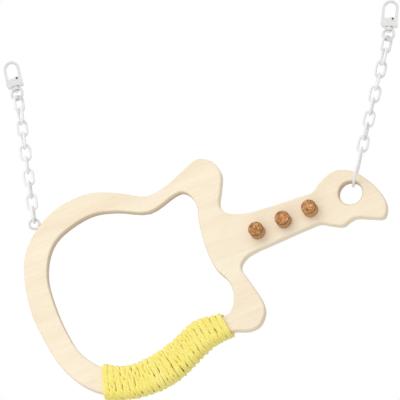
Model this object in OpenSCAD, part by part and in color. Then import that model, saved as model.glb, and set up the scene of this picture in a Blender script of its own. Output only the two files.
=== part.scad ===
// Guitar-shaped wooden bird perch, hung by two plastic chains from two swivel snap clips.
// It is drawn as it hangs: +X to the right, +Y to the back, +Z up, with the origin where the left clip hangs.

/* [Wooden frame] */
// Thickness of the board
wood_t = 10; // [8:0.5:16]
// Radius of the rounded edges
edge_r = 1.6; // [0.6:0.1:2.4]
// Length of the body, from the tail to the root of the neck
body_l = 193; // [170:1:230]
// Width of the body across its bouts
body_w = 192; // [165:1:230]
// Width of the rail round the opening
rail_w = 22; // [18:0.5:26]
// Length of the neck
neck_l = 78; // [66:1:110]
// Width of the neck where it meets the headstock
neck_w = 29.5; // [25:0.5:36]
// Diameter of the hole in the headstock
head_hole_d = 21.5; // [16:0.5:25]
// Chamfer round the hole in the headstock
head_hole_chamfer = 1.5; // [0.3:0.1:2]
// Angle that the neck points up by
neck_tilt = 20; // [10:1:30]

/* [Cork pegs] */
// Diameter of a peg
peg_d = 13.4; // [8:0.2:18]
// How far a peg stands out of the neck
peg_out = 11; // [5:0.5:20]
// How deep a peg sits in the neck
peg_in = 6; // [3:0.5:6.5]
// Distance from the headstock hole to the first peg
peg_first = 38.5; // [34:0.5:44]
// Distance from one peg to the next
peg_pitch = 25.5; // [19:0.5:30]

/* [Rope winding] */
// Diameter of the rope
rope_d = 4.4; // [3.4:0.1:5.4]
// Gap between the rope and the wood
rope_gap = 0.3; // [0.2:0.05:0.6]

/* [Screw eye] */
// Outside diameter of the screw eye
screw_eye_d = 11.5; // [10:0.5:16]
// Thickness of the screw eye's wire
screw_eye_wire = 2.3; // [1.8:0.1:2.8]
// Length of the shank in the wood
shank_l = 12; // [8:1:16]

/* [Chains] */
// Inside length of a link
link_in_l = 12.1; // [10:0.1:16]
// Inside width of a link
link_in_w = 5.8; // [5.4:0.1:8]
// Thickness of a link
link_d = 2.6; // [2:0.1:2.8]
// Links in the left chain
left_links = 10; // [10:1:10]
// Links in the right chain
right_links = 9; // [9:1:9]
// Gap between pieces that hang in each other
hang_gap = 0.3; // [0.2:0.05:0.5]
// Angle of the left chain from the plumb line
left_lean = 7.6; // [0:0.2:15]
// Angle of the right chain from the plumb line
right_lean = 13.4; // [5:0.2:20]

/* [Headstock ring] */
// Outside diameter of the ring
ring_d = 37.5; // [32:0.5:48]
// Thickness of the ring
ring_wire = 2.8; // [2.2:0.1:3.4]
// Turn of the ring about its chain
ring_yaw = 12; // [0:1:20]

/* [Swivel clips] */
// Width of a clip
clip_w = 15; // [14:0.5:20]
// Thickness of the hook's bar
bar_d = 2.8; // [2.2:0.1:3.2]
// Height of the loop inside the hook
loop_h = 14; // [12:0.5:20]
// Height of the block under the loop
block_h = 8.5; // [8:0.5:12]
// Thickness of the block, front to back
block_t = 6.4; // [5.6:0.2:8]
// Thickness of the gate lever, front to back
gate_t = 3; // [2.4:0.1:3.6]
// Outside diameter of the swivel eye
eye_d = 13.4; // [12.6:0.2:18]
// Thickness of the swivel eye
eye_wire = 2.6; // [2:0.1:2.8]
// Diameter of the swivel stud
stud_d = 3; // [2.4:0.1:3.4]
// Diameter of the gate's rivet
rivet_d = 1.8; // [1.4:0.1:2.2]
// Turn of each swivel eye about its clip
eye_yaw = -16; // [-26:1:-15]
// Angle of the left clip from the plumb line
left_clip_lean = 12.5; // [6:0.5:14]
// Angle of the right clip from the plumb line
right_clip_lean = 5; // [0:1:12]

/* [Hidden] */
$fn = 48;
left_names = [for (k = [1:left_links]) str("left_link_", k)];
right_names = [for (k = [1:right_links]) str("right_link_", k)];

// Outline of the wooden frame, seen from the front and with the neck level. The headstock is measured from
// its hole, and the body from the root of the neck, on a body of the drawn size, as [distance back, height].
// Where a rail runs along the outline, a third number says how much slimmer it is there.
head_back = 34;
root_x = -head_back - neck_l;
upper_horn = [[0, 31], [1, 38], [-5, 50.5], [-10.4, 64.5], [-6.5, 78], [5, 85.5], [20, 81]];
rails = [
    [39, 74, 10], [59, 71.5, 7], [82.5, 85, 5], [106, 95, 2], [136.5, 94.5, 0], [162, 83, 1], [180, 65, 0],
    [189.5, 39, 1], [193, 8, 0], [190.5, -19, 1], [185, -46, 1], [173, -69.5, 0], [158, -84.5, -1],
    [138, -93.5, 0], [116, -97, -1], [94, -95.5, -2], [73, -87.5, 0], [53, -79, 1], [31, -77, 6]];
drawn_l = max([for (p = rails) p[0]]);
drawn_w = max([for (p = rails) p[1]]) - min([for (p = rails) p[1]]);
lower_horn = [[16, -82.5], [5.5, -81.5], [-3, -72], [-4.3, -61], [0, -40], [3, -25], [-3.5, -18.5]];
opening_side = [
    [21.5, -55], [17, -43.5], [18, -31.5], [24.5, -16.5], [26, 4], [23.5, 30], [20, 46], [24, 58.5],
    [29, 62.5]];
// The neck's edges, as [share of the neck from its root, how much wider than half the neck]
neck_below = [[0.18, 1.2], [0.41, 0.7], [0.833, 0]];
neck_above = [[0.859, 0.3], [0.462, 3], [0.192, 6.5], [0.064, 10.8]];
headstock = [
    [-35, -15.2], [-26, -20.8], [-16.5, -25.6], [-9.5, -23.8], [-3, -23.4], [8, -28.5], [20, -33.2],
    [25.8, -25], [26, -13.5], [18, 6], [7, 19.5], [-6, 25], [-22, 20.3], [-31, 14.6]];
curve_steps = 4;
edge_steps = 2;
// Where things sit on the outline, counted in its points. The winding's start, middle and end are given for
// both edges of the rail, so that the turns lie square across its bend.
first_rail = len(upper_horn);
screw_eye_place = first_rail + 4.9;
wind_outer = [12, 15.5, 18.15];
wind_inner = [11.62, 15.7, 18];
wind_middle = 0.54;
most_turns = 24;

// Fits and small details
glue_gap = 0.1;
peg_chamfer = 0.8;
peg_side = -1;
run_gap = 0.2;
swivel_gap = 0.3;
ring_room = 0.45;
eye_room = 0.4;
overlap = 1;
sheet = 3 * (body_l + neck_l);
past = 0.4;
tail_run = rope_d;
rope_room = 1.15;
rope_sides = 6;
rope_rings = 24;
run_samples = 48;
neck_collar = 0.4;

function unit(v) = v / norm(v);
function left_of(v) = [-v.y, v.x];

// A point on the smooth closed curve through the points p, at the place t counted in points
function spacing(a, b) = sqrt(norm(b - a));
function curve(p, t) =
    let (n = len(p), i = floor(t), s = t - i)
    let (a = p[(i + n - 1) % n], b = p[i % n], c = p[(i + 1) % n], d = p[(i + 2) % n])
    let (ab = spacing(a, b), bc = spacing(b, c), cd = spacing(c, d))
    let (out_b = (b - a) * bc / ab - (c - a) * bc / (ab + bc) + c - b)
    let (in_c = (d - c) * bc / cd - (d - b) * bc / (bc + cd) + c - b)
    b * (2 * pow(s, 3) - 3 * pow(s, 2) + 1) + out_b * (pow(s, 3) - 2 * pow(s, 2) + s)
    + c * (3 * pow(s, 2) - 2 * pow(s, 3)) + in_c * (pow(s, 3) - pow(s, 2));
function sampled(p) = [for (i = [0 : len(p) * curve_steps - 1]) curve(p, i / curve_steps)];

// Direction into the wood at a place on a curve
function inward(p, t) = unit(left_of(curve(p, t + len(p) + 0.02) - curve(p, t + len(p) - 0.02)));

function body_point(p) = [root_x - p[0] * body_l / drawn_l, p[1] * body_w / drawn_w];
outline = concat(
    [for (p = concat(upper_horn, rails, lower_horn)) body_point(p)],
    [for (p = neck_below) [root_x + p[0] * neck_l, -neck_w / 2 - p[1]]], headstock,
    [for (p = neck_above) [root_x + p[0] * neck_l, neck_w / 2 + p[1]]]);
rail_inside = [for (i = [0 : len(rails) - 1])
    outline[first_rail + i] + (rail_w - rails[i][2]) * inward(outline, first_rail + i)];
opening = concat(rail_inside, [for (p = opening_side) body_point(p)]);

// Left side, from the clip down. The chain starts at the lowest point of the swivel eye's wire, and the first
// link crosses that wire askew, so it has some more room there.
arch_r = (clip_w - bar_d) / 2;
loop_r = arch_r - bar_d / 2;
block_bottom = -loop_h - block_h;
eye_r = (eye_d - eye_wire) / 2;
eye_z = block_bottom - swivel_gap - eye_d / 2;
link_r = (link_in_w + link_d) / 2;
link_half = (link_in_l + link_d) / 2;
link_pitch = link_in_l - hang_gap;
eye_to_link = (eye_wire + link_d) / 2 + hang_gap + eye_room;
left_first = link_half - eye_to_link;
screw_eye_r = (screw_eye_d - screw_eye_wire) / 2;
left_end = left_first + (left_links - 1) * link_pitch + link_half;
screw_eye_top = left_end - (link_d + screw_eye_wire) / 2 - hang_gap;
left_down = [sin(left_lean), 0, -cos(left_lean)];
left_eye_bottom = (eye_r - eye_z) * [sin(left_clip_lean), 0, -cos(left_clip_lean)];
function on_left_chain(d) = left_eye_bottom + d * left_down;
function left_link_at(k) = on_left_chain(left_first + (k - 1) * link_pitch);
screw_eye_at = on_left_chain(screw_eye_top + screw_eye_r);

// The wooden frame hangs on the screw eye
screw_eye_foot = curve(outline, screw_eye_place);
screw_eye_out = -inward(outline, screw_eye_place);
screw_eye_mid = screw_eye_foot + (screw_eye_d / 2 + neck_collar) * screw_eye_out;
neck_way = [cos(neck_tilt), 0, sin(neck_tilt)];
neck_side = [-sin(neck_tilt), 0, cos(neck_tilt)];
function tilted(p) = p.x * neck_way + p.y * neck_side;
frame_at = screw_eye_at - tilted(screw_eye_mid);

// Right side, from the headstock hole up: the ring lies in the hole, clear of the hole's edges. Its plane
// isn't square to the board, so it has some more room there for when the perch rocks.
right_up = [sin(right_lean), 0, cos(right_lean)];
ring_r = (ring_d - ring_wire) / 2;
ring_inside = ring_r - ring_wire / 2;
hole_wall = wood_t / 2 - head_hole_chamfer;
ring_sag = ring_inside - sqrt(pow(ring_inside, 2) - pow(hole_wall, 2));
ring_bottom = frame_at + (head_hole_d / 2 - ring_wire / 2 - ring_sag - hang_gap - ring_room) * right_up;
ring_at = ring_bottom + ring_r * right_up;
right_end = ring_at + (ring_r - (ring_wire + link_d) / 2 - hang_gap) * right_up;
function right_link_at(k) = right_end + (link_half + (right_links - k) * link_pitch) * right_up;
right_eye_bottom = right_link_at(1) + (link_half - eye_to_link) * right_up;
clip_up = [sin(right_clip_lean), 0, cos(right_clip_lean)];
eye_side = cos(eye_yaw) * [cos(right_clip_lean), 0, -sin(right_clip_lean)] + [0, sin(eye_yaw), 0];
right_eye_dir = unit(-(right_up * clip_up) * clip_up - (right_up * eye_side) * eye_side);
right_eye_at = right_eye_bottom - eye_r * right_eye_dir;
right_clip_at = right_eye_at - eye_z * clip_up;

// The links turn a quarter from one to the next, and the first few still hold some of the eye's turn.
function link_yaw(k) = 90 * ((k + 1) % 2) + max(0, 49 - 7 * k);

// The perch swings about eleven level lines, one below the other. Each goes through both chains, at the wire
// that lies across there, and the lowest one goes through the screw eye and the middle of the ring.
function left_pivot(k) =
    k == 1 ? on_left_chain(-eye_to_link / 2)
    : k > left_links ? on_left_chain(screw_eye_top)
    : k % 2 == 1 ? left_link_at(k) - link_half * left_down
    : left_link_at(k - 1) + link_half * left_down;
function right_pivot(k) =
    k == 1 ? right_eye_bottom + eye_to_link / 2 * right_up
    : k > left_links ? ring_at
    : k % 2 == 1 ? right_link_at(k) + link_half * right_up
    : right_link_at(k - 1) - link_half * right_up;
echo(left_pivots = [for (k = [1 : left_links + 1]) left_pivot(k)]);
echo(right_pivots = [for (k = [1 : left_links + 1]) right_pivot(k)]);
echo(hole = frame_at, ring = ring_at, right_clip = right_clip_at, screw_eye = screw_eye_at);

// Levels of a board with rounded edges, as [depth, how far its outline is drawn in]. The last curve of each
// edge runs straight on past the board's faces, which cut it off.
edge_turns = [for (i = [0 : edge_steps - 1]) 90 * i / edge_steps];
last_turn = edge_turns[edge_steps - 1];
past_in = edge_r + past * cos(last_turn) / (1 - sin(last_turn));
half_levels = concat(
    [for (a = edge_turns) [wood_t / 2 - edge_r * (1 - sin(a)), edge_r * (1 - cos(a))]],
    [[wood_t / 2 + past, past_in]]);
board_levels = concat(
    [for (i = [edge_steps : -1 : 0]) [-half_levels[i][0], half_levels[i][1]]],
    half_levels);
cut_levels = [for (l = board_levels) [l[0], -l[1]]];

function drawn_in(p, d) = [for (i = [0 : len(p) - 1])
    p[i] + d * unit(left_of(p[(i + 1) % len(p)] - p[(i + len(p) - 1) % len(p)]))];

// A solid whose outline changes from level to level
module loft(p, levels) {
    n = len(p);
    m = len(levels);
    points = [for (l = levels) for (q = drawn_in(p, l[1])) [q.x, l[0], q.y]];
    front = [for (i = [n - 1 : -1 : 0]) i];
    back = [for (i = [0 : n - 1]) (m - 1) * n + i];
    ahead = [for (k = [0 : m - 2]) for (i = [0 : n - 1])
        [k * n + i, k * n + (i + 1) % n, (k + 1) * n + (i + 1) % n]];
    behind = [for (k = [0 : m - 2]) for (i = [0 : n - 1])
        [k * n + i, (k + 1) * n + (i + 1) % n, (k + 1) * n + i]];
    polyhedron(points, concat([front, back], ahead, behind));
}

// A round tube along a path. Each ring of corners starts in the direction that its guide gives.
module tube(path, guides, r, sides) {
    last = len(path) - 1;
    points = [for (i = [0:last])
        let (t = unit(path[min(i + 1, last)] - path[max(i - 1, 0)]))
        let (a = unit(guides[i] - (guides[i] * t) * t), b = cross(t, a))
        for (k = [0 : sides - 1]) path[i] + r * (a * cos(360 * k / sides) + b * sin(360 * k / sides))];
    start = [for (k = [0 : sides - 1]) k];
    end = [for (k = [sides - 1 : -1 : 0]) last * sides + k];
    left = [for (i = [0 : last - 1]) for (k = [0 : sides - 1])
        [i * sides + k, (i + 1) * sides + k, (i + 1) * sides + (k + 1) % sides]];
    right = [for (i = [0 : last - 1]) for (k = [0 : sides - 1])
        [i * sides + k, (i + 1) * sides + (k + 1) % sides, i * sides + (k + 1) % sides]];
    polyhedron(points, concat([start, end], left, right));
}

// The winding follows the rail at even steps along both of its edges.
function running(d) = [for (j = 0, s = 0; j < len(d); j = j + 1, s = s + (j < len(d) ? d[j] : 0)) s];
function run_places(from, to) = [for (j = [0:run_samples]) from + (to - from) * j / run_samples];
function run_steps(p, t) = [for (j = [0:run_samples]) j == 0 ? 0 : norm(curve(p, t[j]) - curve(p, t[j - 1]))];
function even_part(p, from, to, share, more) =
    let (t = run_places(from, to), s = running(run_steps(p, t)))
    [for (j = [0:run_samples]) [share + more * s[j] / s[run_samples], t[j]]];
function even_run(p, place, first) = concat(
    even_part(p, first + place[0], first + place[1], 0, wind_middle),
    even_part(p, first + place[1], first + place[2], wind_middle, 1 - wind_middle));
outer_run = even_run(outline, wind_outer, first_rail);
inner_run = even_run(opening, wind_inner, 0);
inner_length = running(run_steps(opening, run_places(wind_inner[0], wind_inner[2])))[run_samples];
rope_turns = min(most_turns, floor(inner_length / (rope_d + rope_room)));
function rail_outer(f) = curve(outline, lookup(f, outer_run));
function rail_inner(f) = curve(opening, lookup(f, inner_run));
function rail_wide(f) = norm(rail_inner(f) - rail_outer(f));
function rail_mid(f) = (rail_outer(f) + rail_inner(f)) / 2;
function rail_along(f) =
    let (d = unit(rail_mid(min(f + 0.02, 1)) - rail_mid(max(f - 0.02, 0))))
    [d.x, 0, d.y];
// A place beside the rail: q across it, from its outer edge, and y in depth
function by_rail(f, q, y) =
    let (p = rail_outer(f) + q * unit(rail_inner(f) - rail_outer(f)))
    [p.x, y, p.y];

// One turn of rope goes round a rounded rectangle: a point halfway along each side, five round each corner.
rope_off = rope_d / 2 + rope_gap;
bend_steps = [22.5, 45, 67.5];
function turn_point(f, j) =
    let (w = rail_wide(f) / 2, h = wood_t / 2, k = floor(j / 6), m = j % 6, side = 90 - 90 * k)
    let (a = side - 22.5 * (m - 1), right = k < 2 ? 1 : -1, back = k == 0 || k == 3 ? 1 : -1)
    m == 0
    ? by_rail(f, w + (w + rope_off) * cos(side), (h + rope_off) * sin(side))
    : by_rail(f, w + (w - edge_r) * right + (edge_r + rope_off) * cos(a),
        (h - edge_r) * back + (edge_r + rope_off) * sin(a));
rope_stops = rope_turns * rope_rings;
rope_start_q = rail_wide(0) / 2 - rope_off;
rope_end_q = rail_wide(1) / 2 + rope_off;
wood_back = wood_t / 2;
rope_path = concat(
    [by_rail(0, rope_start_q, wood_back - tail_run), by_rail(0, rope_start_q, wood_back)],
    [for (a = bend_steps) by_rail(0, rope_start_q + rope_off * (1 - cos(a)), wood_back + rope_off * sin(a))],
    [for (n = [0:rope_stops]) turn_point(n / rope_stops, n % rope_rings)],
    [for (a = bend_steps) by_rail(1, rope_end_q - rope_off * (1 - sin(a)), wood_back + rope_off * cos(a))],
    [by_rail(1, rope_end_q, wood_back), by_rail(1, rope_end_q, wood_back - tail_run)]);
rope_before = len(bend_steps) + 2;
rope_guides = [for (i = [0 : len(rope_path) - 1])
    rail_along(max(0, min(1, (i - rope_before) / rope_stops)))];
rope_least_gap = min([for (i = [0 : len(rope_path) - rope_rings - 7])
    min([for (j = [i + rope_rings - 6 : i + rope_rings + 6]) norm(rope_path[j] - rope_path[i])]) - rope_d]);
rope_run = running([for (i = [0 : len(rope_path) - 1]) i == 0 ? 0 : norm(rope_path[i] - rope_path[i - 1])]);
rope_length = rope_run[len(rope_run) - 1];
echo(rope_turns = rope_turns, rope_least_gap = rope_least_gap, rope_length = rope_length);

module on_frame() {
    translate(frame_at) rotate([0, -neck_tilt, 0]) children();
}

function peg_at(k) = [-peg_first - (k - 1) * peg_pitch, peg_side];

module peg_bore(k) {
    translate([peg_at(k).x, -wood_t / 2 + peg_in, peg_at(k).y]) rotate([90, 0, 0])
        cylinder(h = peg_in + overlap, d = peg_d + 2 * glue_gap);
}

module rope_hole(f, q) {
    translate(by_rail(f, q, wood_back - tail_run - rope_gap)) rotate([-90, 0, 0])
        cylinder(h = tail_run + rope_gap + overlap, d = rope_d + 2 * rope_gap);
}

// Turns a screw eye's own frame, shank down, to its place on the edge of the board
module at_screw_eye() {
    translate([screw_eye_mid.x, 0, screw_eye_mid.y])
        rotate([0, atan2(screw_eye_out.x, screw_eye_out.y), 0]) children();
}

module head_hole_rim() {
    rim = head_hole_chamfer + overlap;
    translate([0, wood_t / 2 - head_hole_chamfer, 0]) rotate([-90, 0, 0])
        cylinder(h = rim, d1 = head_hole_d, d2 = head_hole_d + 2 * rim);
}

module wood_frame() {
    color("burlywood") on_frame() difference() {
        intersection() {
            translate([-sheet / 2, -wood_t / 2, -sheet / 2]) cube([sheet, wood_t, sheet]);
            loft(sampled(outline), board_levels);
        }
        loft(sampled(opening), cut_levels);
        rotate([90, 0, 0]) cylinder(h = wood_t + 2 * overlap, d = head_hole_d, center = true);
        for (side = [-1, 1]) mirror([0, (1 - side) / 2, 0]) head_hole_rim();
        for (k = [1:3]) peg_bore(k);
        rope_hole(0, rope_start_q);
        rope_hole(1, rope_end_q);
        at_screw_eye() translate([0, 0, -screw_eye_d / 2 - neck_collar - shank_l - glue_gap])
            cylinder(h = shank_l + 2 * neck_collar + overlap, d = screw_eye_wire + 2 * glue_gap);
    }
}

module cork_peg(k) {
    profile = [
        [0, -peg_in], [peg_d / 2, -peg_in], [peg_d / 2, peg_out - peg_chamfer],
        [peg_d / 2 - peg_chamfer, peg_out], [0, peg_out]];
    color("peru") on_frame() translate([peg_at(k).x, -wood_t / 2, peg_at(k).y]) rotate([90, 0, 0])
        rotate_extrude() polygon(profile);
}

module rope_wrap() {
    color("khaki") on_frame() tube(rope_path, rope_guides, rope_d / 2, rope_sides);
}

module screw_eye() {
    open_turn = 340;
    tip_l = 3;
    color("silver") on_frame() at_screw_eye() {
        rotate([90, 0, 0]) rotate([0, 0, -90]) rotate_extrude(angle = open_turn)
            translate([screw_eye_r, 0]) circle(d = screw_eye_wire);
        translate([0, 0, -screw_eye_d / 2 - neck_collar - shank_l + tip_l])
            cylinder(h = shank_l - tip_l + neck_collar + screw_eye_wire / 2, d = screw_eye_wire);
        translate([0, 0, -screw_eye_d / 2 - neck_collar - shank_l])
            cylinder(h = tip_l, d1 = screw_eye_wire / 4, d2 = screw_eye_wire);
    }
}

// One closed link, upright and seen from its flat side
module link() {
    straight = 2 * (link_half - link_r);
    for (end = [0, 1]) mirror([0, 0, end]) translate([0, 0, straight / 2]) rotate([90, 0, 0])
        rotate_extrude(angle = 180) translate([link_r, 0]) circle(d = link_d);
    for (side = [-1, 1]) translate([side * link_r, 0, 0]) cylinder(h = straight, d = link_d, center = true);
}

module left_link(k) {
    color("white") translate(left_link_at(k)) rotate([0, -left_lean, 0]) rotate([0, 0, link_yaw(k)]) link();
}

module right_link(k) {
    color("white") translate(right_link_at(k)) rotate([0, right_lean, 0]) rotate([0, 0, link_yaw(k)]) link();
}

module headstock_ring() {
    color("whitesmoke") translate(ring_at) rotate([0, right_lean, 0]) rotate([0, 0, ring_yaw])
        rotate([0, 90, 0]) rotate_extrude() translate([ring_r, 0]) circle(d = ring_wire);
}

// The clip in its own frame: it hangs at the inside of its arch, and the gate closes its left side.
nose_turn = 165;
nose_gap = 0.4;
half_w = clip_w / 2;
block_round = 1.6;
cheek_drop = 3.4;
post_w = 7.3;
pocket_floor = 0.9;
slot_t = gate_t + 2 * run_gap;
gate_bar_w = 2.4;
gate_top = -loop_r * (1 - sin(nose_turn)) - nose_gap;
arm_h = 2.8;
arm_top = -loop_h - 0.4;
arm_bottom = arm_top - arm_h;
hub_r = 1.8;
rivet_x = half_w - 4.1;
rivet_z = arm_top - arm_h / 2;
slot_end = rivet_x + hub_r + run_gap;
pocket_bottom = block_bottom + pocket_floor;
rivet_head_d = rivet_d + 1.2;
rivet_head_h = 0.5;
stud_head_d = stud_d + 1.4;
stud_head_h = 1;
boss_d = stud_d + 3.4;
boss_top = eye_z + eye_d / 2;
boss_bottom = eye_z + sqrt(pow(eye_r - eye_wire / 2, 2) - pow(stud_head_d / 2, 2));
boss_h = boss_top - boss_bottom;
stud_head_top = boss_bottom - swivel_gap;
spring_wire = 0.45;
spring_d = 2.4;
spring_curls = 4;
spring_rings = 8;
spring_x = -3.4;
spring_top = arm_top - arm_h - hang_gap - spring_wire / 2;
spring_bottom = pocket_bottom + spring_wire / 2;

module rounded_plate(low, high, r, t) {
    rotate([90, 0, 0]) linear_extrude(height = t, center = true) union() {
        translate([low.x + r, low.y]) square([high.x - low.x - 2 * r, high.y - low.y]);
        translate([low.x, low.y + r]) square([high.x - low.x, high.y - low.y - 2 * r]);
        for (x = [low.x + r, high.x - r]) for (y = [low.y + r, high.y - r]) translate([x, y]) circle(r = r);
    }
}

module across(x, z, h, d) {
    translate([x, 0, z]) rotate([90, 0, 0]) cylinder(h = h, d = d, center = true);
}

module hook() {
    color("silver") difference() {
        union() {
            translate([0, 0, -loop_r]) rotate([90, 0, 0]) rotate_extrude(angle = nose_turn)
                translate([arch_r, 0]) circle(d = bar_d);
            translate([arch_r, 0, -loop_h - cheek_drop])
                cylinder(h = loop_h + cheek_drop - loop_r, d = bar_d);
            rounded_plate([-half_w, block_bottom], [half_w, -loop_h - cheek_drop], block_round, block_t);
            rounded_plate([half_w - post_w, block_bottom], [half_w, -loop_h], block_round, block_t);
            translate([0, 0, stud_head_top - stud_head_h / 2])
                cylinder(h = block_bottom + pocket_floor / 2 - stud_head_top + stud_head_h / 2, d = stud_d);
            translate([0, 0, stud_head_top - stud_head_h]) cylinder(h = stud_head_h, d = stud_head_d);
        }
        translate([-clip_w, -slot_t / 2, pocket_bottom])
            cube([clip_w + slot_end, slot_t, -loop_h + overlap - pocket_bottom]);
        across(rivet_x, rivet_z, block_t + 2 * overlap, rivet_d);
    }
}

module gate() {
    left = -half_w;
    color("silver") difference() {
        union() {
            rounded_plate([left, arm_bottom], [rivet_x + hub_r, arm_top], arm_h / 2 - 0.2, gate_t);
            rounded_plate([left, arm_bottom], [left + gate_bar_w, gate_top], gate_bar_w / 2 - 0.2, gate_t);
            across(rivet_x, rivet_z, gate_t, 2 * hub_r);
        }
        across(rivet_x, rivet_z, gate_t + 2 * overlap, rivet_d + 2 * glue_gap);
    }
}

module gate_rivet() {
    color("gainsboro") {
        across(rivet_x, rivet_z, block_t + 2 * rivet_head_h, rivet_d);
        for (side = [-1, 1]) translate([0, side * (block_t + rivet_head_h) / 2, 0])
            across(rivet_x, rivet_z, rivet_head_h, rivet_head_d);
    }
}

module gate_spring() {
    stops = spring_curls * spring_rings;
    r = (spring_d - spring_wire) / 2;
    path = [for (i = [0:stops]) [
        spring_x + r * cos(360 * i / spring_rings), r * sin(360 * i / spring_rings),
        spring_bottom + (spring_top - spring_bottom) * i / stops]];
    color("dimgray") tube(path, [for (p = path) [0, 0, 1]], spring_wire / 2, 6);
}

module swivel_eye() {
    color("silver") difference() {
        union() {
            translate([0, 0, eye_z]) rotate([90, 0, 0]) rotate_extrude()
                translate([eye_r, 0]) circle(d = eye_wire);
            translate([0, 0, boss_bottom]) cylinder(h = boss_h, d = boss_d);
        }
        translate([0, 0, boss_bottom - overlap])
            cylinder(h = boss_h + 2 * overlap, d = stud_d + 2 * run_gap);
    }
}

echo(clip_axes = [left_clip_lean, right_clip_lean], rivet = [rivet_x, 0, rivet_z], eye_z = eye_z);

module on_left_clip() {
    rotate([0, -left_clip_lean, 0]) children();
}

module on_right_clip() {
    translate(right_clip_at) rotate([0, right_clip_lean, 0]) children();
}

wood_frame();
for (k = [1:3]) cork_peg(k);
rope_wrap();
screw_eye();
headstock_ring();
for (k = [1:left_links]) left_link(k);
for (k = [1:right_links]) right_link(k);
on_left_clip() rotate([0, 0, eye_yaw]) swivel_eye();  // left_swivel_eye
on_left_clip() hook();  // left_hook
on_left_clip() gate();  // left_gate
on_left_clip() gate_rivet();  // left_gate_rivet
on_left_clip() gate_spring();  // left_gate_spring
on_right_clip() rotate([0, 0, eye_yaw]) swivel_eye();  // right_swivel_eye
on_right_clip() hook();  // right_hook
on_right_clip() gate();  // right_gate
on_right_clip() gate_rivet();  // right_gate_rivet
on_right_clip() gate_spring();  // right_gate_spring
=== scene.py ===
# %% [markdown]
# # A guitar-shaped perch on two chains
#
# The solids of this perch are already packed: a sawn board, three cork pegs, a rope winding, a screw eye, a
# ring, two plastic chains and two swivel clips. This lesson gives them their finishes and winds a real
# twisted rope, then looks at the perch from where the picture was taken. Every length is in metres, except
# the film's width and the sums for the rope's line, which are in millimetres.

import math

import bmesh
import bpy
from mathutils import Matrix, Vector, noise


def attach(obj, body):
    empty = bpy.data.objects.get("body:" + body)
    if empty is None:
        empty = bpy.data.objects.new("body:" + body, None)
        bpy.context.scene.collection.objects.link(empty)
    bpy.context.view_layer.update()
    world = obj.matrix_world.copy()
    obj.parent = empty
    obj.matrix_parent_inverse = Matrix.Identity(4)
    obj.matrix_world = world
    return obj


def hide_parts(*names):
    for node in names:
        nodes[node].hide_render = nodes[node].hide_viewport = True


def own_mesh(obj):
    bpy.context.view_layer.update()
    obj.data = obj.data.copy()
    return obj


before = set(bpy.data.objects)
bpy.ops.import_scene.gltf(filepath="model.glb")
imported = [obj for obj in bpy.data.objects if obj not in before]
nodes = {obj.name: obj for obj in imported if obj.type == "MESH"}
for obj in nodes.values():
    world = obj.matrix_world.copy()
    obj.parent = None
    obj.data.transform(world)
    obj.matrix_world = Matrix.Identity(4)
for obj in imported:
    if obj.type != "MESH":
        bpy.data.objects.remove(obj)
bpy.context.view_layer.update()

# %% [markdown]
# ## The camera
#
# The picture was taken from a little to the right of the board and from well below it, with a long lens:
# the links keep one size from end to end. So the camera stands six metres away and its lens is worked out
# from the width that the picture shows: the size of a pixel on the perch, times the pixels. It looks at the
# point that lies in the middle of the picture, which is measured from the middle of the hole in the
# headstock.

# %% Camera
mm = 0.001
picture_px, px_size = 400, 0.893 * mm
film_width = 36
hole = Vector((312.498, 0, -142.668)) * mm
looked_at = hole + Vector((-137.4, 0, 3.2)) * mm
azimuth, elevation, distance = math.radians(12), math.radians(-17), 6.0
shown_width = picture_px * px_size

camera = bpy.data.objects.new("camera", bpy.data.cameras.new("camera"))
bpy.context.scene.collection.objects.link(camera)
towards = Vector((
    math.sin(azimuth) * math.cos(elevation), -math.cos(azimuth) * math.cos(elevation), math.sin(elevation)))
camera.location = looked_at + towards * distance
camera.rotation_mode = "QUATERNION"
camera.rotation_quaternion = (-towards).to_track_quat("-Z", "Y")
camera.data.sensor_width = film_width
camera.data.lens = film_width * distance / shown_width
camera.data.clip_end = 100
bpy.context.scene.camera = camera
bpy.context.scene.view_settings.view_transform = "Standard"
print("lens:", round(camera.data.lens), "mm")

# %% [markdown]
# ## Shader sums as Python sums
#
# A finish is a tree of nodes, and most of its links are plain sums. Clicking those together takes many
# lines, so a small class stands for a socket: adding or multiplying two of them adds a Math node. Every
# other node comes from one method, which sets the node's own settings first and then fills its sockets with
# numbers or links.

# %% A socket that can be reckoned with
class Flow:
    """A value on its way through a node tree."""

    def __init__(self, sheet, socket):
        self.sheet, self.socket = sheet, socket

    def reckon(self, operation, a, b):
        return self.sheet.add("ShaderNodeMath", {"operation": operation}, {0: a, 1: b})

    def __add__(self, other):
        return self.reckon("ADD", self, other)

    def __sub__(self, other):
        return self.reckon("SUBTRACT", self, other)

    def __rsub__(self, other):
        return self.reckon("SUBTRACT", other, self)

    def __mul__(self, other):
        return self.reckon("MULTIPLY", self, other)

    __radd__, __rmul__ = __add__, __mul__

    def __pow__(self, other):
        return self.reckon("POWER", self, other)

    def __abs__(self):
        return self.reckon("ABSOLUTE", self, 0.0)


print("sums that lay nodes: +, -, *, ** and abs")

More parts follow.
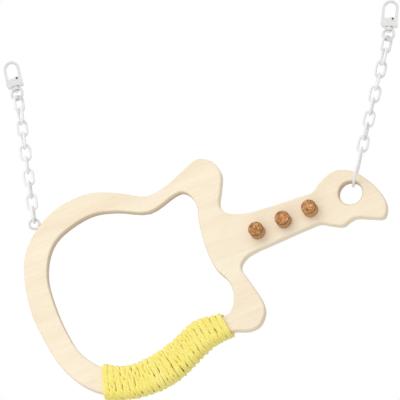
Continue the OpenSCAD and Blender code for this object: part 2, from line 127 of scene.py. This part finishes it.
# %% A sheet of nodes
class Sheet:
    """The nodes of one material or of the world."""

    def __init__(self, owner):
        owner.use_nodes = True
        self.tree = owner.node_tree
        self.tree.nodes.clear()

    def add(self, kind, settings=None, sockets=None, out=0):
        """A node with its settings and its sockets, which are numbers or links. Gives one of its outputs."""
        node = self.tree.nodes.new(kind)
        for name, value in (settings or {}).items():
            if name == "stops":
                ramp = node.color_ramp.elements
                while len(ramp) < len(value):
                    ramp.new(0.5)
                for element, (place, colour) in zip(ramp, value):
                    element.position, element.color = place, (*colour, 1)
            else:
                setattr(node, name, value)
        for name, value in (sockets or {}).items():
            if isinstance(value, Flow):
                self.tree.links.new(value.socket, node.inputs[name])
            else:
                node.inputs[name].default_value = value
        return Flow(self, node.outputs[out])

    def blend(self, share, a, b):
        """Colour a where share is 0, colour b where it is 1."""
        ends = {6: a if isinstance(a, Flow) else (*a, 1), 7: b if isinstance(b, Flow) else (*b, 1)}
        return self.add("ShaderNodeMix", {"data_type": "RGBA"}, {0: share, **ends}, out=2)

    def step(self, value, low, high):
        """0 below low, 1 above high, smooth between."""
        return self.add("ShaderNodeMapRange", {"interpolation_type": "SMOOTHSTEP"},
                        {"Value": value, "From Min": low, "From Max": high})

    def end(self, kind, shader):
        """Links a shader to an output node of a kind."""
        self.tree.links.new(shader.socket, self.tree.nodes.new(kind).inputs["Surface"])


print("a sheet can:", [name for name in vars(Sheet) if not name.startswith("_")])

# %% [markdown]
# Every finish ends in one surface shader, so one function makes the material round it. A second one puts a
# finish on a mesh, in place of what the mesh had.

# %% A finish and its use


def finish(name, make):
    """A material whose nodes are laid by make(sheet), which returns the sockets of its surface shader."""
    material = bpy.data.materials.new(name)
    sheet = Sheet(material)
    sheet.end("ShaderNodeOutputMaterial", sheet.add("ShaderNodeBsdfPrincipled", sockets=make(sheet)))
    print("finish:", name, "nodes:", len(sheet.tree.nodes))
    return material


def dress(mesh, material):
    """Gives a mesh this material and no other."""
    mesh.materials.clear()
    mesh.materials.append(material)


print("solids to finish:", len(nodes))

# %% [markdown]
# ## Light and background
#
# The picture is a product shot: a soft lamp up on the left, a weaker one low down, and nothing behind the
# perch but white. The sky here lights the perch at a middling level, but rays from the camera see it as
# plain white, and so do rays that a shiny piece sends back. The floor lies far below and is see-through
# from underneath, since the camera is low. It is pale paint, lit as the perch is, so it keeps a shadow and
# shows a little darker in shiny undersides. A faint glow, for those same rays alone, brings it nearer to
# white.

# %% World
world = bpy.data.worlds.new("studio")
bpy.context.scene.world = world
sky_light = 0.74


def seen(sheet):
    """1 for rays from the camera, a mirror or glass, and 0 for the light that falls on things."""
    kinds = ("Is Camera Ray", "Is Glossy Ray", "Is Transmission Ray")
    camera_ray, glossy_ray, glass_ray = (sheet.add("ShaderNodeLightPath", out=kind) for kind in kinds)
    return camera_ray + glossy_ray + glass_ray


sky = Sheet(world)
sky.end("ShaderNodeOutputWorld", sky.add("ShaderNodeBackground", sockets={
    "Color": (1, 1, 1, 1), "Strength": sky_light + seen(sky) * (1 - sky_light)}))
print("sky light:", sky_light)

# %% Lamps


def lamp(name, place, size, power):
    """A square lamp at a place measured from the point that is looked at, and turned towards it."""
    light = bpy.data.lights.new(name, "AREA")
    light.size, light.energy = size, power
    piece = bpy.data.objects.new(name, light)
    bpy.context.scene.collection.objects.link(piece)
    piece.location = looked_at + Vector(place)
    piece.rotation_euler = (-Vector(place)).to_track_quat("-Z", "Y").to_euler()
    piece.visible_glossy = False
    print("lamp:", name, power, "W")


lamp("key_lamp", place=(-0.9, -1.9, 1.2), size=2.2, power=22.5)
lamp("low_lamp", place=(-0.6, -1.7, -1.4), size=1.6, power=7)

# %% Floor
floor_radius = 30
floor_middle = (0.17, 0, -2.6)

plate = bmesh.new()
bmesh.ops.create_circle(plate, cap_ends=True, segments=64, radius=floor_radius)
floor_mesh = bpy.data.meshes.new("floor")
plate.to_mesh(floor_mesh)
plate.free()
floor = bpy.data.objects.new("floor", floor_mesh)
floor.location = floor_middle
bpy.context.scene.collection.objects.link(floor)
print("floor at", floor.location.z)

# %% Floor finish
paint, faint = 0.9, 0.17

floor_finish = bpy.data.materials.new("floor_white")
paper = Sheet(floor_finish)
underneath = paper.add("ShaderNodeNewGeometry", out="Backfacing")
matt = paper.add("ShaderNodeBsdfDiffuse", sockets={"Color": (paint, paint, paint, 1)})
glow = paper.add("ShaderNodeEmission", sockets={"Color": (1, 1, 1, 1), "Strength": seen(paper) * faint})
top = paper.add("ShaderNodeAddShader", sockets={0: matt, 1: glow})
clear = paper.add("ShaderNodeBsdfTransparent")
paper.end("ShaderNodeOutputMaterial", paper.add("ShaderNodeMixShader", sockets={
    0: underneath, 1: top, 2: clear}))
dress(floor_mesh, floor_finish)
print("floor nodes:", len(paper.tree.nodes))

# %% [markdown]
# ## Pale wood
#
# The board is pale, sanded and bare. Its grain runs along the neck: soft streaks a few millimetres apart,
# finer ones between them, and short dark pores. The sides are painted a little darker and warmer than the
# faces, which is painted shade, and are found by depth in the board, because the faces are five millimetres
# from its middle. The walls of the opening and of the hole are browner than the outline, and darker towards
# the back, which is painted shade. An attribute of the mesh, "sawn", says which wall is which.

# %% Wood finish
neck_tilt = math.radians(20)
half_board = 5 * mm


def wood(sheet):
    at = sheet.add("ShaderNodeTexCoord", out="Object")
    level = sheet.add("ShaderNodeMapping", sockets={0: at, "Rotation": (0, neck_tilt, 0)})
    depth = sheet.add("ShaderNodeSeparateXYZ", sockets={0: at}, out="Y")

    def grain(along, across, detail, seed):
        """A noise with so many features in a metre along the neck and across it."""
        drawn = sheet.add("ShaderNodeMapping", sockets={
            0: level, "Location": (seed, seed, seed), "Scale": (along, across, across)})
        return sheet.add("ShaderNodeTexNoise", sockets={
            0: drawn, "Scale": 1.0, "Detail": detail, "Roughness": 0.55})

    figure = grain(along=7, across=55, detail=3, seed=1.7)
    streaks = grain(along=18, across=420, detail=2, seed=4.1)
    pores = sheet.step(grain(along=95, across=1300, detail=1, seed=7.3), 0.6, 0.72)
    patches = sheet.add("ShaderNodeTexNoise", sockets={0: level, "Scale": 22.0, "Detail": 2.0})
    tone = sheet.step(figure * 0.7 + streaks * 0.3, 0.3, 0.7)
    face = sheet.blend(tone, (0.87, 0.74, 0.55), (0.94, 0.84, 0.66))
    face = sheet.blend(sheet.step(patches, 0.45, 0.75) * 0.3, face, (0.935, 0.8, 0.585))
    face = sheet.blend(pores * 0.14, face, (0.6, 0.43, 0.27))
    # Painted shade: the outline's sides are a little darker and warmer than the faces.
    shaded_outline_side = sheet.blend(tone, (0.84, 0.7, 0.5), (0.92, 0.8, 0.61))
    brown = sheet.blend(tone, (0.68, 0.52, 0.34), (0.8, 0.64, 0.44))
    # Painted shade: the walls of the cuts grow darker towards the back of the board.
    brown = sheet.blend(sheet.step(depth, -0.6 * half_board, half_board), brown, (0.46, 0.36, 0.25))
    side = sheet.blend(sheet.add("ShaderNodeAttribute", {"attribute_name": "sawn"}, out="Fac"), shaded_outline_side, brown)
    colour = sheet.blend(sheet.step(abs(depth), 0.72 * half_board, 0.98 * half_board), side, face)
    relief = sheet.add("ShaderNodeBump", sockets={
        "Strength": 0.25, "Distance": 0.3 * mm, "Height": streaks * 0.6 - pores * 0.5})
    return {"Base Color": colour, "Roughness": 0.5 + tone * 0.16, "Normal": relief}


pale_wood = finish("pale_wood", wood)

# %% [markdown]
# ## The board
#
# The board's solid is made of flat strips round its edges. Its own mesh is left alone: a copy of it has its
# corners merged, so that neighbours share them, and is then shaded smooth except at real corners.

# %% A merged copy
same_place = 0.001 * mm


def smooth_copy(node, name, sharp):
    """A merged copy of a solid, shaded smooth where its faces meet at less than so many degrees."""
    work = bmesh.new()
    work.from_mesh(nodes[node].data)
    bmesh.ops.remove_doubles(work, verts=work.verts, dist=same_place)
    bmesh.ops.recalc_face_normals(work, faces=work.faces)
    for face in work.faces:
        face.smooth = True
    mesh = bpy.data.meshes.new(name)
    work.to_mesh(mesh)
    work.free()
    mesh.set_sharp_from_angle(angle=math.radians(sharp))
    piece = bpy.data.objects.new(name, mesh)
    bpy.context.scene.collection.objects.link(piece)
    return piece


board = smooth_copy("wood_frame", "board", sharp=50)
dress(board.data, pale_wood)
print("board corners:", len(board.data.vertices))

# %% [markdown]
# The finish needs to know which walls belong to the cuts. Without the two broad faces the mesh falls apart
# into walls: a long one along the outline, and one in each cut. A walk from face to face over shared edges
# finds them.

# %% Walls of the cuts
is_flat = 0.999


def mark_cut_walls(mesh):
    """Marks the walls of the cuts, which are all walls but the largest. Gives the number of walls."""
    work = bmesh.new()
    work.from_mesh(mesh)
    unseen = {face for face in work.faces if abs(face.normal.y) < is_flat}
    walls = []
    while unseen:
        ahead, wall = [unseen.pop()], []
        while ahead:
            wall.append(ahead.pop())
            beside = {face for edge in wall[-1].edges for face in edge.link_faces} & unseen
            unseen -= beside
            ahead.extend(beside)
        walls.append([face.index for face in wall])
    work.free()
    outline = max(walls, key=len)
    sawn = mesh.attributes.new("sawn", "FLOAT", "FACE")
    for wall in walls:
        for index in wall:
            sawn.data[index].value = float(wall is not outline)
    return len(walls)


print("walls:", mark_cut_walls(board.data))

# %% [markdown]
# Smooth shading alone would bend the light on the broad faces, because their triangles run from the edges
# to the bores. So the corners that lie on a broad face are given that face's own direction, and the rounded
# edges then melt into it.

# %% Flat light
melts_in = 0.64
front, back = Vector((0, -1, 0)), Vector((0, 1, 0))


def flatten_light(mesh, direction):
    """Gives the corners of the faces that look one way, and of the strips beside them, that one direction."""
    light = [Vector(corner.vector) for corner in mesh.corner_normals]
    flat = [face for face in mesh.polygons if face.normal.dot(direction) > is_flat]
    on_face = {vertex for face in flat for vertex in face.vertices}
    for face in mesh.polygons:
        if face.normal.dot(direction) > melts_in:
            for loop in face.loop_indices:
                if mesh.loops[loop].vertex_index in on_face:
                    light[loop] = direction
    mesh.normals_split_custom_set(light)
    return len(flat)


for name, direction in (("front", front), ("back", back)):
    print("flat triangles,", name, flatten_light(board.data, direction))
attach(board, "perch")
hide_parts("wood_frame")

# %% [markdown]
# ## Cork
#
# The pegs are pressed cork: light and dark crumbs of many sizes, with dark pits and cracks between some of
# them. Two sizes of Voronoi cells, bent out of shape by a noise, give the crumbs, each with its own tone.
# The distance to a cell's edge gives the cracks, and a broad noise closes most of them. The cut end of a
# peg is the richest in colour, its bevelled rim is darkest, and the round side is paler. How far out of the
# board a point lies tells the three apart.

# %% Cork finish
peg_end = min(vertex.co.y for vertex in nodes["cork_peg_1"].data.vertices)
bevel = 0.8 * mm
bend = 2.4 * mm
coarse, fine = 480.0, 1250.0


def cork(sheet):
    at = sheet.add("ShaderNodeTexCoord", out="Object")
    sway = sheet.add("ShaderNodeTexNoise", sockets={0: at, "Scale": 620.0, "Detail": 3.0}, out="Color")
    bent = sheet.add("ShaderNodeVectorMath", {"operation": "MULTIPLY_ADD"}, {0: sway, 1: (bend,) * 3, 2: at})

    def crumbs(scale):
        """One tone for each crumb, with so many crumbs in a metre."""
        cell = sheet.add("ShaderNodeTexVoronoi", {"feature": "F1"}, {0: bent, "Scale": scale}, out="Color")
        return sheet.add("ShaderNodeSeparateColor", sockets={0: cell}, out="Red")

    speck = sheet.add("ShaderNodeTexNoise", sockets={0: at, "Scale": 1500.0, "Detail": 3.0})
    spots = sheet.add("ShaderNodeTexNoise", sockets={0: bent, "Scale": 900.0, "Detail": 2.0})
    pits = sheet.step(spots, 0.55, 0.65)
    broad = sheet.add("ShaderNodeTexNoise", sockets={0: at, "Scale": 330.0, "Detail": 1.0})
    to_edge = sheet.add("ShaderNodeTexVoronoi", {"feature": "DISTANCE_TO_EDGE"}, {0: bent, "Scale": coarse})
    cracks = (1 - sheet.step(to_edge, 0.01, 0.1)) * sheet.step(broad, 0.45, 0.62)
    colour = sheet.add("ShaderNodeValToRGB", {"stops": [
        (0.0, (0.2, 0.07, 0.018)), (0.25, (0.42, 0.17, 0.05)), (0.55, (0.62, 0.29, 0.1)),
        (1.0, (0.86, 0.5, 0.24))]}, {0: crumbs(coarse) * 0.5 + crumbs(fine) * 0.35 + speck * 0.25})
    colour = sheet.blend(cracks * 0.8, colour, (0.1, 0.04, 0.014))
    colour = sheet.blend(pits * 0.8, colour, (0.13, 0.05, 0.017))
    inwards = sheet.add("ShaderNodeSeparateXYZ", sockets={0: at}, out="Y") - peg_end
    side = sheet.step(inwards, 0.9 * bevel, 1.6 * bevel)
    rim = sheet.step(inwards, 0.1 * bevel, 0.4 * bevel) * (1 - side)
    colour = sheet.blend(side * 0.5, colour, (0.56, 0.34, 0.155))
    colour = sheet.blend(rim * 0.6, colour, (0.12, 0.045, 0.016))
    relief = sheet.add("ShaderNodeBump", sockets={
        "Strength": 0.6, "Distance": 0.5 * mm, "Height": speck * 0.4 - cracks * 0.6 - pits * 0.6})
    return {"Base Color": colour, "Roughness": 0.82 + speck * 0.12, "Normal": relief}


cork_finish = finish("cork", cork)
pegs = [name for name in nodes if name.startswith("cork_peg")]
for name in pegs:
    dress(nodes[name].data, cork_finish)
print("pegs:", len(pegs), "ends at", round(peg_end / mm, 1), "mm")

# %% [markdown]
# ## White plastic
#
# Links and ring are moulded from white plastic with a soft gloss. Moulding leaves the gloss a little uneven
# and a faint waviness, so two noises move the roughness and the surface by very small amounts.

# %% Plastic finish


def plastic(sheet):
    at = sheet.add("ShaderNodeTexCoord", out="Object")
    wave = sheet.add("ShaderNodeTexNoise", sockets={0: at, "Scale": 170.0, "Detail": 2.0})
    fine_wave = sheet.add("ShaderNodeTexNoise", sockets={0: at, "Scale": 1400.0, "Detail": 2.0})
    colour = sheet.blend(sheet.step(wave, 0.35, 0.7), (0.85, 0.85, 0.845), (0.89, 0.89, 0.885))
    relief = sheet.add("ShaderNodeBump", sockets={
        "Strength": 0.12, "Distance": 0.4 * mm, "Height": wave + fine_wave * 0.15})
    return {"Base Color": colour, "Roughness": 0.3 + fine_wave * 0.14, "Normal": relief}


white_plastic = finish("white_plastic", plastic)
chain = [name for name in nodes if "link" in name or name == "headstock_ring"]
for name in chain:
    dress(nodes[name].data, white_plastic)
print("plastic pieces:", len(chain))

# %% [markdown]
# ## Bright nickel
#
# Clips and screw eye are plated. Nickel is a warm grey mirror with a slight haze and the fine scratches of
# use, which run every way, so a stretched noise is laid twice across itself. The springs are of bare steel,
# darker and duller.

# %% Nickel finish


def nickel(sheet, light, dark, haze):
    """Plated metal between two tones. A greater haze blurs what it mirrors."""
    at = sheet.add("ShaderNodeTexCoord", out="Object")

    def scratches(turn):
        drawn = sheet.add("ShaderNodeMapping", sockets={0: at, "Rotation": turn, "Scale": (60, 60, 2600)})
        return sheet.add("ShaderNodeTexNoise", sockets={0: drawn, "Scale": 1.0, "Detail": 2.0})

    worn = sheet.add("ShaderNodeTexNoise", sockets={0: at, "Scale": 260.0, "Detail": 3.0})
    lines = scratches((0.4, 0.3, 0.0)) + scratches((-0.9, 0.2, 0.7))
    colour = sheet.blend(sheet.step(worn, 0.3, 0.75), dark, light)
    relief = sheet.add("ShaderNodeBump", sockets={"Strength": 0.03, "Distance": 0.1 * mm, "Height": lines})
    return {"Base Color": colour, "Metallic": 1.0, "Roughness": haze + worn * 0.08, "Normal": relief}


# Light tone, dark tone and haze
plating = (0.83, 0.825, 0.815), (0.77, 0.765, 0.755), 0.2
bare_steel = (0.5, 0.5, 0.51), (0.38, 0.38, 0.39), 0.28
bright_nickel = finish("bright_nickel", lambda sheet: nickel(sheet, *plating))
spring_steel = finish("spring_steel", lambda sheet: nickel(sheet, *bare_steel))
metal = [name for name in nodes if any(word in name for word in ("eye", "hook", "gate"))]
for name in metal:
    dress(nodes[name].data, bright_nickel)
print("metal pieces:", len(metal))

# %% [markdown]
# Each rivet head has a dimple in its middle, and the shade in it is painted as a dark spot. Their finish is
# the same nickel, but it measures how far a point lies from the rivet's own axis, which runs from front to
# back.

# %% Rivets
dimple_shade_r, bright_r = 0.75 * mm, 1.15 * mm


def shaded_dimple(sheet, middle):
    """Nickel with a dark spot of painted shade, for the dimple, on the axis through middle."""
    at = sheet.add("ShaderNodeTexCoord", out="Object")
    off_axis = sheet.add("ShaderNodeMapping", sockets={
        0: at, "Location": (-middle.x, 0, -middle.z), "Scale": (1, 0, 1)})
    radius = sheet.add("ShaderNodeVectorMath", {"operation": "LENGTH"}, {0: off_axis}, out="Value")
    surface = nickel(sheet, *plating)
    rim = sheet.step(radius, dimple_shade_r, bright_r)
    # Painted shade: the rivet's dimple is near black.
    surface["Base Color"] = sheet.blend(rim, (0.05, 0.05, 0.05), surface["Base Color"])
    return surface


for side in ("left", "right"):
    rivet = nodes[f"{side}_gate_rivet"].data
    middle = sum((vertex.co for vertex in rivet.vertices), Vector()) / len(rivet.vertices)
    dress(rivet, finish(f"{side}_rivet", lambda sheet: shaded_dimple(sheet, middle)))

# %% [markdown]
# ## Gate springs
#
# A small coil spring stands in the block of each clip, under the gate. When the gate opens, its arm comes
# down and presses the spring together. A spring that stayed rigid would cut through the arm. A merged copy of
# each spring stands in for it here, shaded smooth, in spring steel and carried by the hook. The copy keeps
# its shape.

# %% Spring copies
clip_leans = {"left": math.radians(-12.5), "right": math.radians(5)}

for side, lean in clip_leans.items():
    coil = smooth_copy(f"{side}_gate_spring", f"{side}_coil", sharp=75)
    dress(coil.data, spring_steel)
    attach(coil, f"{side}_hook")
    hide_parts(f"{side}_gate_spring")
    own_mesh(coil)

# %% [markdown]
# ## The rope winding
#
# One yellow rope goes round the lower rail again and again. A plain tube with a rope pattern looks like a
# spring, so the rope is laid as it is made: four strands that twist round the rope's own line. First comes
# that line. The rail's two edges are smooth curves through a few points, measured in millimetres along the
# board from the hole in the headstock, and the turns go round the rail between them.

# %% Edges of the rail
rail_outer = [(-297, -46), (-285, -69.5), (-270, -84.5), (-250, -93.5), (-228, -97), (-206, -95.5),
              (-185, -87.5), (-165, -79), (-143, -77), (-128, -82.5), (-117.5, -81.5)]
rail_inner = [(-277.2, -39.1), (-267.2, -56.6), (-256.9, -65.6), (-243.7, -72.4), (-227, -74),
              (-211.2, -72.1), (-193.3, -67.1), (-170.2, -58.6), (-140.9, -61.1), (-133.5, -55),
              (-129, -43.5)]
# Start, middle and end of the winding on each edge, counted in points of the lists above
wound_outer = (2, 5.5, 8.15)
wound_inner = (1.62, 5.7, 8)
middle_share = 0.54


def edge_point(points, place):
    """A point on the smooth curve through the points."""
    index = min(int(place), len(points) - 3)
    s = place - index
    a, b, c, d = (Vector(p) for p in points[index - 1:index + 3])
    ab, bc, cd = math.sqrt((b - a).length), math.sqrt((c - b).length), math.sqrt((d - c).length)
    leave = (b - a) * bc / ab - (c - a) * bc / (ab + bc) + c - b
    arrive = (d - c) * bc / cd - (d - b) * bc / (bc + cd) + c - b
    return (b * (2 * s ** 3 - 3 * s ** 2 + 1) + leave * (s ** 3 - 2 * s ** 2 + s)
            + c * (3 * s ** 2 - 2 * s ** 3) + arrive * (s ** 3 - s ** 2))


print("points on the edges:", len(rail_outer), "outside,", len(rail_inner), "inside")

# %% [markdown]
# The points lie unevenly, so a place counted in points would crowd the turns. Each edge is walked in even
# steps instead, and a share of the winding, from 0 to 1, then gives a point on it. Both edges are cut in two
# at matching places in the middle, so that the turns lie straight across the rail on either side of the bend.

# %% Even steps along the edges


def even_places(points, start, end, count=120):
    """Points at equal lengths along a stretch of the curve."""
    places = [start + (end - start) * i / count for i in range(count + 1)]
    corners = [edge_point(points, place) for place in places]
    run = [0.0]
    for one, two in zip(corners, corners[1:]):
        run.append(run[-1] + (two - one).length)
    even, k = [], 0
    for i in range(count + 1):
        wanted = run[-1] * i / count
        while k < count - 1 and run[k + 1] < wanted:
            k += 1
        even.append(corners[k].lerp(corners[k + 1], (wanted - run[k]) / (run[k + 1] - run[k])))
    return even


def along(points, wound):
    """A function that gives the point of an edge at a share of the winding."""
    first, second = even_places(points, *wound[:2]), even_places(points, *wound[1:])

    def at(share):
        part, local = (first, share / middle_share) if share < middle_share else (
            second, (share - middle_share) / (1 - middle_share))
        x = min(max(local, 0), 1) * (len(part) - 1)
        k = min(int(x), len(part) - 2)
        return part[k].lerp(part[k + 1], x - k)
    return at


outer_at, inner_at = along(rail_outer, wound_outer), along(rail_inner, wound_inner)
print("rail width at the middle:", round((outer_at(0.5) - inner_at(0.5)).length, 1), "mm")

# %% [markdown]
# A turn follows the rail's section, a rectangle with rounded corners. The rope is pressed against the wood,
# so its line lies at a little under half its thickness from it. Real turns never lie quite alike, so each is
# nudged a little along the rail and away from it by a smooth noise. The ends bend into the two holes at the
# back of the board.

# %% Section of the rail
board_half = half_board / mm
corner = 1.6


def section(width, way):
    """Place and outward direction on the rail's section, at a share of the way round from the back."""
    w, h = width / 2 - corner, board_half - corner
    quarter = corner * math.pi / 2
    sides = [w, quarter, 2 * h, quarter, 2 * w, quarter, 2 * h, quarter, w]
    left = way % 1.0 * sum(sides)
    spots = [((0, h), 90), ((w, h), 90), ((w, h), 0), ((w, -h), 0), ((w, -h), -90), ((-w, -h), -90),
             ((-w, -h), -180), ((-w, h), -180), ((-w, h), -270)]
    steps = [(1, 0), None, (0, -1), None, (-1, 0), None, (0, 1), None, (1, 0)]
    for side, (spot, turn), step in zip(sides, spots, steps):
        if left <= side:
            break
        left -= side
    a = math.radians(turn - (0 if step else left / side * 90))
    shift = Vector(step) * left if step else Vector((0, 0))
    out = Vector((math.cos(a), math.sin(a)))
    return Vector(spot) + shift + out * corner, out


def by_rail(share, across, depth):
    """From the rail to the hanging frame: across the rail from its middle, and depth in the board."""
    o, i = outer_at(share), inner_at(share)
    p = (o + i) / 2 + (i - o).normalized() * across
    x = p.x * math.cos(neck_tilt) - p.y * math.sin(neck_tilt)
    z = p.x * math.sin(neck_tilt) + p.y * math.cos(neck_tilt)
    return hole + Vector((x, depth, z)) * mm


print("back of the rail, at its middle:", [round(v / mm, 1) for v in by_rail(0.5, 0, board_half)], "mm")

# %% Turns of the rope
turns, turn_points = 22, 64
rope_r, lay_off = 2.5, 1.95
wound_share, wound_length = 0.967, 140
most_nudge, most_lift = 0.5, 0.35

line, outward = [], []
for n in range(turns * turn_points + 1):
    turn = n / turn_points
    share = turn / turns * wound_share
    nudge = noise.noise(Vector((turn * 0.9, 3.7, 0))) * most_nudge * min(1, turn, turns - turn)
    lift = abs(noise.noise(Vector((turn * 1.7, 0, 8.1)))) * most_lift
    share = min(max(share + nudge / wound_length, 0), 1)
    width = (outer_at(share) - inner_at(share)).length
    spot, out = section(width, turn)
    place = spot + out * (lay_off + lift)
    line.append(by_rail(share, place.x, place.y))
    outward.append((by_rail(share, place.x + out.x, place.y + out.y) - line[-1]).normalized())
print("points on the turns:", len(line))

# %% Ends of the rope
hole_off = 2.55
bend_steps, deep_steps = 8, 4
deep_share = 0.55


def tail(start, end, side):
    """The rope's end, from the back of the rail into its hole."""
    points, outs = [], []
    for step in range(1, bend_steps + deep_steps + 1):
        a = math.radians(90 * min(step, bend_steps) / bend_steps)
        deep = max(0, step - bend_steps) * rope_r * deep_share
        share = start + (end - start) * min(step / bend_steps, 1)
        depth = board_half + lay_off * math.cos(a) - deep
        points.append(by_rail(share, side * hole_off * math.sin(a), depth))
        out = by_rail(share, side * math.sin(a), board_half + math.cos(a)) - by_rail(share, 0, board_half)
        outs.append(out.normalized())
    return points, outs


start_points, start_out = tail(0, 0, -1)
end_points, end_out = tail(wound_share, 1, 1)
line = start_points[::-1] + line + end_points
outward = start_out[::-1] + outward + end_out
rope_length = sum((b - a).length for a, b in zip(line, line[1:]))
print("rope length:", round(rope_length, 3), "m in", turns, "turns")

# %% [markdown]
# Four strands wind slowly round that line, a little more than once in a turn, so two of them lie side by side
# on top nearly everywhere. The rope is soft and every turn is pushed against its neighbours, so it has spread
# until nothing is left between them but small dark specks. The room that a turn has differs round the bends:
# it is half the way to the turns on either side, and the strands swing about as wide as that. Those that lie
# below are pressed widest, so a gap between two turns shows yellow in the shade and not the wood.

# %% Room for each turn
tail_points = len(start_points)
ease_points = 12


def room(k):
    """Half the rope's width at a point of its line. Near its ends it is as wide as a free rope."""
    ways = [(line[m] - line[k]).length for m in (k - turn_points, k + turn_points) if 0 <= m < len(line)]
    from_end = min(k, len(line) - 1 - k) - tail_points
    free = rope_r * mm
    return free + (sum(ways) / len(ways) / 2 - free) * min(max(from_end / ease_points, 0), 1)


rooms = [room(k) for k in range(len(line))]
print("half width of the turns:", round(min(rooms) / mm, 2), "to", round(max(rooms) / mm, 2), "mm")

# %% [markdown]
# A curve with a round bevel makes each strand, and it is turned into a mesh, which also lays a texture map
# along it.

# %% Path of a strand
lay_length = 61 * mm
strand_r = 1.5 * mm
height = 0.55 * mm
full_swing, pressed = 1.06, 0.06
roundness = 0.6


def squared(part):
    """Pushes a sine towards -1 and 1, so that a round path becomes a square one with round corners."""
    return math.copysign(abs(part) ** roundness, part)


def uneven(run, most, every, seed):
    """A smooth noise between -most and most, which changes every so many millimetres along the rope."""
    return most * noise.noise(Vector((run / mm / every, *seed)))


def strand(name, start_turn):
    """A curve that starts at an angle round the rope's line and winds along it."""
    curve = bpy.data.curves.new(name, "CURVE")
    curve.dimensions, curve.bevel_depth, curve.bevel_resolution = "3D", strand_r, 3
    curve.use_fill_caps = True
    spline = curve.splines.new("POLY")
    spline.points.add(len(line) - 1)
    run = 0.0
    for k, point in enumerate(line):
        if k:
            run += (point - line[k - 1]).length
        ahead = (line[min(k + 1, len(line) - 1)] - line[max(k - 1, 0)]).normalized()
        up = (outward[k] - ahead * outward[k].dot(ahead)).normalized()
        beside = ahead.cross(up)
        a = start_turn + 2 * math.pi * run / lay_length + uneven(run, most=1.4, every=35, seed=(1.9, 4))
        low = max(0.0, -math.sin(a))
        loose = uneven(run, most=0.5, every=5, seed=(6.3, 1)) * (1 - low)
        swing = rooms[k] * (full_swing + pressed * low + loose) - strand_r
        offset = beside * squared(math.cos(a)) * swing + up * squared(math.sin(a)) * height
        spline.points[k].co = (*(point + offset), 1)
        spline.points[k].radius = 1 + uneven(run, most=0.16, every=9, seed=(start_turn, 2))
    return bpy.data.objects.new(name, curve)


print("twists of the strands:", round(rope_length / lay_length, 1))

# %% Strands
strand_count = 4
strands = []
for number in range(strand_count):
    laid = strand(f"strand_{number}", 2 * math.pi * number / strand_count)
    bpy.context.scene.collection.objects.link(laid)
    bpy.context.view_layer.update()
    mesh = bpy.data.meshes.new_from_object(laid.evaluated_get(bpy.context.evaluated_depsgraph_get()))
    bpy.data.objects.remove(laid)
    strands.append(mesh)
print("strand faces:", [len(mesh.polygons) for mesh in strands])

# %% Rope
work = bmesh.new()
for mesh in strands:
    work.from_mesh(mesh)
for face in work.faces:
    face.smooth = True
rope_mesh = bpy.data.meshes.new("rope_winding")
work.to_mesh(rope_mesh)
work.free()
rope = bpy.data.objects.new("rope_winding", rope_mesh)
bpy.context.scene.collection.objects.link(rope)
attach(rope, "perch")
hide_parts("rope_wrap")
print("rope faces:", len(rope_mesh.polygons))

# %% [markdown]
# The rope is bright yellow and matt. Every strand is twisted from three plies, and fine yarns run along
# them. Both follow the strand, so they are drawn on the strand's own map, which runs from 0 to 1 along the
# strand in X and from 0 to 1 once round it in Y. A sine of both together makes slanting ridges, and the
# grooves between them are painted darker and deeper in colour, as painted shade.

# %% Rope finish
plies = 3
twist_length = 13.5 * mm
twists = rope_length / twist_length


def yellow_yarn(sheet):
    at = sheet.add("ShaderNodeTexCoord", out="Object")
    on_strand = sheet.add("ShaderNodeTexCoord", out="UV")
    drawn = sheet.add("ShaderNodeMapping", sockets={0: on_strand, "Scale": (500.0, 9.0, 1.0)})
    yarn = sheet.add("ShaderNodeTexNoise", sockets={0: drawn, "Scale": 1.0, "Detail": 2.0})
    along_it = sheet.add("ShaderNodeSeparateXYZ", sockets={0: on_strand}, out="X")
    round_it = sheet.add("ShaderNodeSeparateXYZ", sockets={0: on_strand}, out="Y")
    slant = (round_it + along_it * twists + yarn * 0.12) * (math.pi * plies)
    ridge = abs(sheet.add("ShaderNodeMath", {"operation": "SINE"}, {0: slant}))
    fuzz = sheet.add("ShaderNodeTexNoise", sockets={0: at, "Scale": 2200.0, "Detail": 3.0})
    fade = sheet.add("ShaderNodeTexNoise", sockets={0: at, "Scale": 60.0, "Detail": 1.0})
    colour = sheet.blend(sheet.step(yarn, 0.3, 0.7), (0.95, 0.8, 0.16), (0.975, 0.9, 0.275))
    colour = sheet.blend(sheet.step(fade, 0.4, 0.7) * 0.3, colour, (0.98, 0.92, 0.39))
    # Painted shade: the grooves between the plies are darker.
    colour = sheet.blend((1 - ridge) ** 2 * 0.35, colour, (0.86, 0.62, 0.09))
    relief = sheet.add("ShaderNodeBump", sockets={
        "Strength": 0.55, "Distance": 0.4 * mm, "Height": ridge * 0.8 + yarn * 0.4 + fuzz * 0.3})
    return {"Base Color": colour, "Roughness": 0.8 + fuzz * 0.15, "Normal": relief, "Sheen Weight": 0.25}


dress(rope_mesh, finish("yellow_rope", yellow_yarn))

# %% [markdown]
# ## Size
#
# What is shown should be no larger than the solids are.
